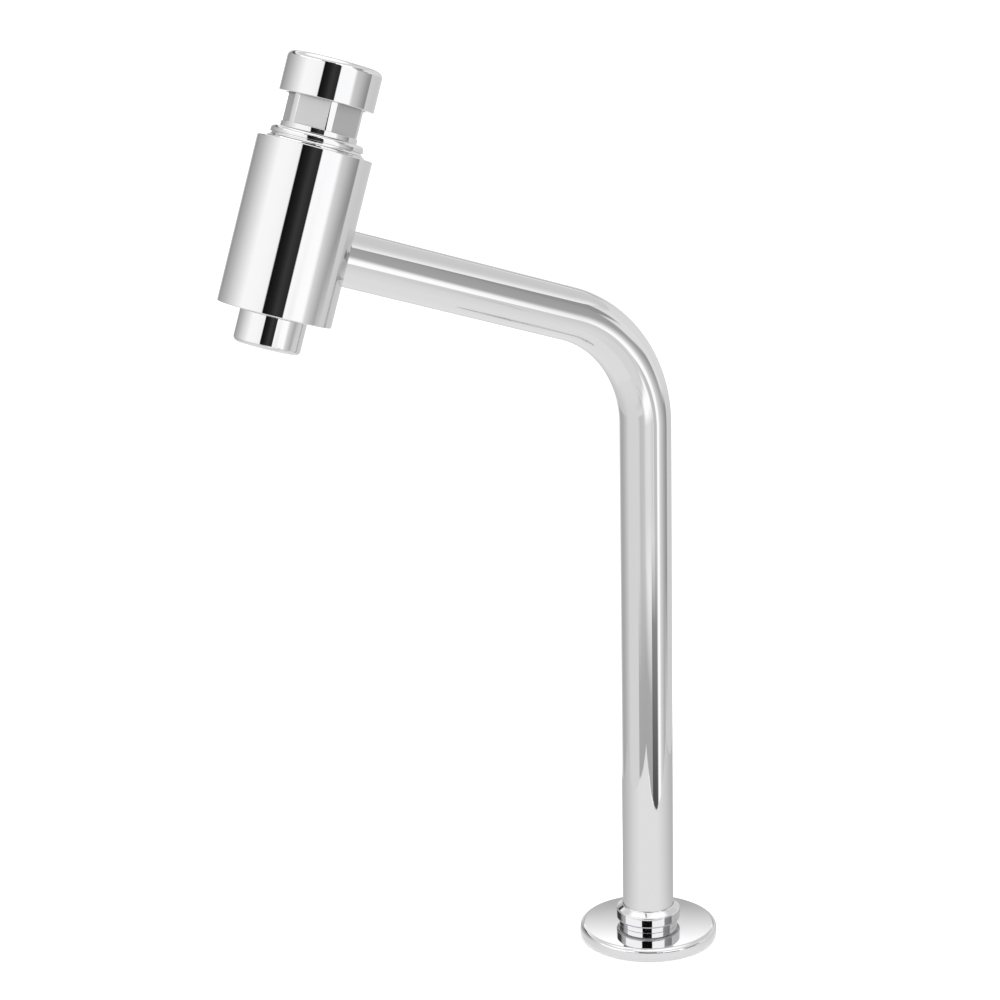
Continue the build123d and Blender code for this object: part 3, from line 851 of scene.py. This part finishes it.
def closingSpring(v):
    deselectAll()
    bpy.ops.mesh.primitive_circle_add(
        vertices=v["wireSides"], radius=v["wireRadius"] * mm,
        location=(v["coilRadius"] * mm, 0, v["bottom"] * mm), rotation=(pi / 2, 0, 0),
    )
    piece = bpy.context.object
    piece.name = "closing_spring"
    bpy.ops.object.transform_apply(location=True, rotation=True)
    applyModifier(
        piece, "SCREW", axis="Z", angle=2 * pi, screw_offset=v["rise"] / v["turns"] * mm,
        iterations=v["turns"], steps=v["steps"], render_steps=v["steps"],
    )
    bpy.ops.object.mode_set(mode="EDIT")
    fillOpenEnds()
    bpy.ops.mesh.normals_make_consistent(inside=False)
    bpy.ops.object.mode_set(mode="OBJECT")
    bpy.ops.object.shade_smooth_by_angle(angle=sharpAngle)
    placeOnHead(piece)
    standFor(piece, "return_spring", "root", finishes["stainless"])
    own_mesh(piece)


flangePlate(flangeValues)
inletBoss(bossValues)
footCollar(collarValues)
spoutPipe(pipeValues)
valveBarrel(barrelValues)
trimRing(trimValues)
bonnetNeck(bonnetValues)
outletShell(nozzleValues)
pushCap(capValues)
closingSpring(springValues)
print("chrome pieces and spring made")

# Camera, fitted to the photograph's outlines

cameraValues = {
    "place": (-470.661, -722.233, 396.624),
    "yaw": radians(29.584),
    "pitch": radians(-14.673),
    "roll": radians(-1.256),
    "focal": 2.455312,  # focal length over image width
    "sensor": 36.0,
    "farthest": 20,  # that it sees, in metres
}


def addCamera(v):
    yaw, pitch, roll = v["yaw"], v["pitch"], v["roll"]
    forward = Vector((sin(yaw) * cos(pitch), cos(yaw) * cos(pitch), sin(pitch)))
    right = Vector((cos(yaw), -sin(yaw), 0))
    up = right.cross(forward)
    rolledRight = right * cos(roll) + up * sin(roll)
    rolledUp = up * cos(roll) - right * sin(roll)
    data = bpy.data.cameras.new("camera")
    data.sensor_width = v["sensor"]
    data.sensor_fit = "HORIZONTAL"
    data.lens = v["focal"] * v["sensor"]
    data.clip_end = v["farthest"]
    camera = bpy.data.objects.new("camera", data)
    bpy.context.scene.collection.objects.link(camera)
    turn = Matrix((rolledRight, rolledUp, -forward)).transposed().to_4x4()
    camera.matrix_world = Matrix.Translation(Vector(v["place"]) * mm) @ turn
    bpy.context.scene.camera = camera


# Floor: plain and pale. The mirror finish doesn't see it, since a small sheet under the
# tap, foils that rise behind its near edge and the studio's own light stand for it there

floorValues = {
    "size": 40000,
    "drop": 0.02,  # below the tap's underside
    "colour": "FAFAFA",
    "roughness": 0.9,
}


def addFloor(v):
    deselectAll()
    bpy.ops.mesh.primitive_plane_add(size=v["size"] * mm, location=(0, 0, -v["drop"] * mm))
    floor = bpy.context.object
    floor.name = "floor"
    material, tree, shader = newMaterial("paleFloor")
    shader.inputs["Base Color"].default_value = hexColour(v["colour"])
    shader.inputs["Roughness"].default_value = v["roughness"]
    shader.inputs["Specular IOR Level"].default_value = 0.0
    floor.data.materials.append(material)
    floor.visible_glossy = False


def stageGloss(piece, name, paint, strength):
    # makes a stage piece plain light that only the mirror finish sees. Its paint function
    # gives the colour, and how much of what lies behind it is covered
    material, tree, shader = newMaterial(name)
    tree.nodes.remove(shader)
    place = addNode(tree, "ShaderNodeTexCoord")
    slant = addNode(tree, "ShaderNodeLayerWeight", inputs={"Blend": 0.5})
    colour, cover = paint(tree, place.outputs["Object"], slant.outputs["Facing"])
    glow = addNode(tree, "ShaderNodeEmission", inputs={"Color": colour, "Strength": strength})
    clear = addNode(tree, "ShaderNodeBsdfTransparent")
    both = addNode(tree, "ShaderNodeMixShader", inputs={
        0: cover, 1: clear.outputs[0], 2: glow.outputs[0],
    })
    tree.links.new(both.outputs[0], tree.nodes["Material Output"].inputs["Surface"])
    piece.data.materials.append(material)
    piece.visible_camera = False
    piece.visible_diffuse = False
    piece.visible_shadow = False


sheetValues = {
    "outline": [
        (-134, -180), (-45, -152), (205, -124), (195, 190), (-162, 150), (-166, -78),
    ],
    "drop": 0.01,
    "brightSide": radians(-150),  # from +Y towards +X
    "grading": (-1.1, 0.8),  # away from that side and towards it
    "dark": "9A9A9A",
    "light": "DCDCDC",
    "above": "D9D9D9",  # as seen from well above it
    "slant": (0.3, 0.55),  # from steep rays to shallow ones
    "strength": 1.66,
}


def addSheet(v):
    deselectAll()
    bpy.ops.mesh.primitive_circle_add(vertices=len(v["outline"]), fill_type="NGON")
    sheet = bpy.context.object
    sheet.name = "paper_sheet"
    for vertex, (x, y) in zip(sheet.data.vertices, v["outline"]):
        vertex.co = (x * mm, y * mm, -v["drop"] * mm)

    def paint(tree, place, facing):
        outward = addNode(tree, "ShaderNodeVectorMath", {"operation": "NORMALIZE"}, {0: place})
        across = addNode(tree, "ShaderNodeVectorMath", {"operation": "DOT_PRODUCT"}, {
            0: outward.outputs[0], 1: (sin(v["brightSide"]), cos(v["brightSide"]), 0),
        })
        share = addNode(tree, "ShaderNodeMapRange", inputs={
            "Value": across.outputs["Value"],
            "From Min": v["grading"][0],
            "From Max": v["grading"][1],
        })
        graded = addNode(tree, "ShaderNodeMix", {"data_type": "RGBA"}, {
            0: share.outputs["Result"], 6: hexColour(v["dark"]), 7: hexColour(v["light"]),
        })
        shallow = addNode(tree, "ShaderNodeMapRange", inputs={
            "Value": facing, "From Min": v["slant"][0], "From Max": v["slant"][1],
        })
        seen = addNode(tree, "ShaderNodeMix", {"data_type": "RGBA"}, {
            0: shallow.outputs["Result"], 6: hexColour(v["above"]), 7: graded.outputs[2],
        })
        return seen.outputs[2], 1.0

    stageGloss(sheet, "paperSheet", paint, v["strength"])


foilValues = {
    "length": 165,
    "rise": 74,
    "slant": (0.17, 0.22),  # from steep rays, which it lets through, to shallow ones
    "strength": 1.66,
    "foils": [  # low and high are its colours, and from one fade height to the other it thins out
        {
            "name": "grey_foil", "low": "A2A2A2", "high": "B4B4B4", "fade": (24, 56),
            "feet": [  # azimuth and distance from the column
                (-112.5, 179), (-127, 190), (-143.3, 224), (-157, 180), (-163.5, 162), (-171, 154),
            ],
        },
        {
            "name": "dark_foil", "low": "484848", "high": "9C9C9C", "fade": (48, 74),
            "feet": [(-171, 154), (-177, 147), (176, 143), (170, 143), (165.2, 148)],
        },
    ],
}


def addFoil(v, foil):
    feet = foil["feet"]
    deselectAll()
    bpy.ops.mesh.primitive_grid_add(x_subdivisions=len(feet) - 1, y_subdivisions=1)
    piece = bpy.context.object
    piece.name = foil["name"]
    for i, (azimuth, distance) in enumerate(feet):
        outward = Vector((sin(radians(azimuth)), cos(radians(azimuth)), 0))
        foot = outward * distance * mm
        slope = (outward * v["length"] + Vector((0, 0, v["rise"]))) * mm
        piece.data.vertices[i].co = foot
        piece.data.vertices[i + len(feet)].co = foot + slope

    def paint(tree, place, facing):
        height = addNode(tree, "ShaderNodeSeparateXYZ", inputs={"Vector": place}).outputs["Z"]
        risen = addNode(tree, "ShaderNodeMapRange", inputs={
            "Value": height, "From Max": v["rise"] * mm,
        })
        colour = addNode(tree, "ShaderNodeMix", {"data_type": "RGBA"}, {
            0: risen.outputs["Result"], 6: hexColour(foil["low"]), 7: hexColour(foil["high"]),
        })
        thinned = addNode(tree, "ShaderNodeMapRange", inputs={
            "Value": height,
            "From Min": foil["fade"][1] * mm,
            "From Max": foil["fade"][0] * mm,
        })
        shallow = addNode(tree, "ShaderNodeMapRange", inputs={
            "Value": facing, "From Min": v["slant"][0], "From Max": v["slant"][1],
        })
        cover = addNode(tree, "ShaderNodeMath", {"operation": "MULTIPLY"}, {
            0: thinned.outputs["Result"], 1: shallow.outputs["Result"],
        })
        return colour.outputs[2], cover.outputs[0]

    stageGloss(piece, foil["name"], paint, v["strength"])


# One wide soft lamp overhead, which the mirror finish doesn't see

lampValues = {
    "strength": 1.3,
    "spread": radians(120),
}


def addLamp(v):
    lamp = bpy.data.lights.new("skylight", "SUN")
    lamp.energy = v["strength"]
    lamp.angle = v["spread"]
    skylight = bpy.data.objects.new("skylight", lamp)
    bpy.context.scene.collection.objects.link(skylight)
    skylight.visible_glossy = False


addCamera(cameraValues)
addFloor(floorValues)
addSheet(sheetValues)
for foil in foilValues["foils"]:
    addFoil(foilValues, foil)
addLamp(lampValues)
print("camera, floor and lamp set")

# Studio: soft walls all round, as brightness by direction. Angles are degrees from +Y
# towards +X, and degrees above the horizon

studioValues = {
    "upper": [  # seen level and above: a dark curtain at -170 to -131, a grey wall at 106 to 150
        (-180, "F8F8F8"), (-171.5, "F8F8F8"), (-170.3, "262626"), (-156, "363636"),
        (-146, "202020"), (-131.7, "0C0C0C"), (-130.5, "F0F0F0"), (-110, "F5F5F5"),
        (-85, "F6F6F6"), (-65, "DDDDDD"), (-35, "B3B3B3"), (-15, "9B9B9B"), (-4, "888888"),
        (4, "A8A8A8"), (16, "CCCCCC"), (30, "BABABA"), (45, "C2C2C2"), (80, "D4D4D4"),
        (103, "D4D4D4"), (106, "8A8A8A"), (130, "989898"), (149, "A2A2A2"), (155, "F8F8F8"),
        (180, "F8F8F8"),
    ],
    "lower": [  # seen a little downwards
        (-180, "CACACA"), (-165, "DBDBDB"), (-150, "D8D8D8"), (-141, "C0C0C0"), (-126, "BABABA"),
        (-118, "D1D1D1"), (-70, "D0D0D0"), (-45, "B2B2B2"), (-30, "A4A4A4"), (-14, "A0A0A0"),
        (-6, "B8B8B8"), (8, "E8E8E8"), (20, "E0E0E0"), (30, "C6C6C6"), (40, "BABABA"),
        (50, "BABABA"), (62, "BEBEBE"), (78, "C2C2C2"), (104, "CACACA"), (107, "888888"),
        (116, "969696"), (128, "AEAEAE"), (140, "C6C6C6"), (147, "D6D6D6"), (150, "F0F0F0"),
        (153, "FCFCFC"), (170, "FCFCFC"), (180, "CACACA"),
    ],
    "ground": [  # seen steeply downwards, beyond the sheet
        (-180, "D2D2D2"), (-120, "D2D2D2"), (-75, "D0D0D0"), (-45, "C2C2C2"), (0, "B8B8B8"),
        (60, "BABABA"), (100, "BEBEBE"), (140, "C6C6C6"), (180, "D2D2D2"),
    ],
    "level": (-13, 1),  # the elevations between which lower turns into upper
    "ceiling": ("ECECEC", "CDCDCD"),  # at its edge, and as far above it as its depth
    "ceilingEdge": 30.5,
    "ceilingDepth": 12,
    "groundBelow": "D6D6D6",
    "groundEdge": -22.4,
    "groundDepth": 30,
    "edgeSoftness": 0.4,
    "overhead": "FFFFFF",
    "overheadEdge": (50, 62),
    # panels have their middle, half width and soft side in azimuth, the elevations where
    # they start and where they are full, a colour and a gain
    "wallPanels": [
        (168, 7.5, 1, -9, -12.5, "BCBCBC", 1),
        (112, 9, 3, -16.5, -20, "C8C8C8", 1),
        (111, 8, 1.5, -9, -5, "DADADA", 1),
        (117, 14, 1.5, 1, 4, "DADADA", 1),
        (125, 7, 1.5, 13, 16, "909090", 1),
        (33, 25, 5, 15, 20, "A6A6A6", 1),
        (33, 25, 5, 23.95, 25.05, "FFFFFF", 1),
        (-12, 20, 8, 21, 23, "484848", 1),
        (-94, 37, 1, 22, 23.5, "FFFFFF", 1.35),
        (176, 23, 1, 22, 23.5, "FFFFFF", 1.35),
        (-142, 18.3, 0.6, 22, 23, "101010", 1),
    ],
    "loosePanels": [  # these hang in front of ceiling and ground too
        (62, 42, 14, 25.6, 26.8, "C6C6C6", 1),
        (-168, 17, 4, -15, -20, "FCFCFC", 1),
        (-165, 28, 6, -26, -30, "D2D2D2", 1),
    ],
    "strength": 1.66,
}


def passInto(tree, elevation, start, end, before, after):
    # from one light to another between two elevations
    share = addNode(tree, "ShaderNodeMapRange", {"interpolation_type": "SMOOTHSTEP"}, {
        "Value": elevation, "From Min": radians(start), "From Max": radians(end),
    })
    return addNode(tree, "ShaderNodeMix", {"data_type": "RGBA"}, {
        0: share.outputs["Result"], 6: before, 7: after,
    }).outputs[2]


def hangPanels(tree, azimuth, elevation, lit, panels):
    for middle, width, softSide, start, full, colour, gain in panels:
        off = addNode(tree, "ShaderNodeMath", {"operation": "SUBTRACT"}, {
            0: azimuth, 1: radians(middle),
        })
        turned = addNode(tree, "ShaderNodeMath", {"operation": "WRAP"}, {
            0: off.outputs[0], 1: pi, 2: -pi,
        })
        aside = addNode(tree, "ShaderNodeMath", {"operation": "ABSOLUTE"}, {0: turned.outputs[0]})
        inWidth = addNode(tree, "ShaderNodeMapRange", {"interpolation_type": "SMOOTHSTEP"}, {
            "Value": aside.outputs[0],
            "From Min": radians(width + softSide),
            "From Max": radians(width - softSide),
        })
        inHeight = addNode(tree, "ShaderNodeMapRange", inputs={
            "Value": elevation, "From Min": radians(start), "From Max": radians(full),
        })
        cover = addNode(tree, "ShaderNodeMath", {"operation": "MULTIPLY"}, {
            0: inWidth.outputs["Result"], 1: inHeight.outputs["Result"],
        })
        lit = addNode(tree, "ShaderNodeMix", {"data_type": "RGBA"}, {
            0: cover.outputs[0], 6: lit, 7: [c * gain for c in hexColour(colour)],
        }).outputs[2]
    return lit


def addStudio(v):
    world = bpy.data.worlds.new("studio")
    bpy.context.scene.world = world
    world.use_nodes = True
    tree = world.node_tree
    direction = addNode(tree, "ShaderNodeTexCoord")
    parts = addNode(tree, "ShaderNodeSeparateXYZ", inputs={
        "Vector": direction.outputs["Generated"],
    })
    azimuth = addNode(tree, "ShaderNodeMath", {"operation": "ARCTAN2"}, {
        0: parts.outputs["X"], 1: parts.outputs["Y"],
    }).outputs[0]
    elevation = addNode(tree, "ShaderNodeMath", {"operation": "ARCSINE"}, {
        0: parts.outputs["Z"],
    }).outputs[0]
    around = addNode(tree, "ShaderNodeMapRange", inputs={
        "Value": azimuth, "From Min": -pi, "From Max": pi,
    })
    walls = {}
    for level in ("lower", "upper", "ground"):
        ramp = addNode(tree, "ShaderNodeValToRGB", inputs={"Fac": around.outputs["Result"]})
        stops = ramp.color_ramp.elements
        stops.remove(stops[1])
        for i, (angle, colour) in enumerate(v[level]):
            position = (angle + 180) / 360
            stop = stops[0] if i == 0 else stops.new(position)
            stop.position = position
            stop.color = hexColour(colour)
        walls[level] = ramp.outputs["Color"]

    lit = passInto(tree, elevation, *v["level"], walls["lower"], walls["upper"])
    lit = hangPanels(tree, azimuth, elevation, lit, v["wallPanels"])
    edge, soft = v["ceilingEdge"], v["edgeSoftness"]
    atEdge, above = [hexColour(colour) for colour in v["ceiling"]]
    ceiling = passInto(tree, elevation, edge, edge + v["ceilingDepth"], atEdge, above)
    lit = passInto(tree, elevation, edge - soft, edge + soft, lit, ceiling)
    edge, below = v["groundEdge"], hexColour(v["groundBelow"])
    ground = passInto(tree, elevation, edge, edge - v["groundDepth"], walls["ground"], below)
    lit = passInto(tree, elevation, edge + soft, edge - soft, lit, ground)
    lit = hangPanels(tree, azimuth, elevation, lit, v["loosePanels"])
    lit = passInto(tree, elevation, *v["overheadEdge"], lit, hexColour(v["overhead"]))

    background = tree.nodes["Background"]
    tree.links.new(lit, background.inputs["Color"])
    background.inputs["Strength"].default_value = v["strength"]


addStudio(studioValues)
bpy.context.scene.view_settings.view_transform = "Standard"
print("studio made")
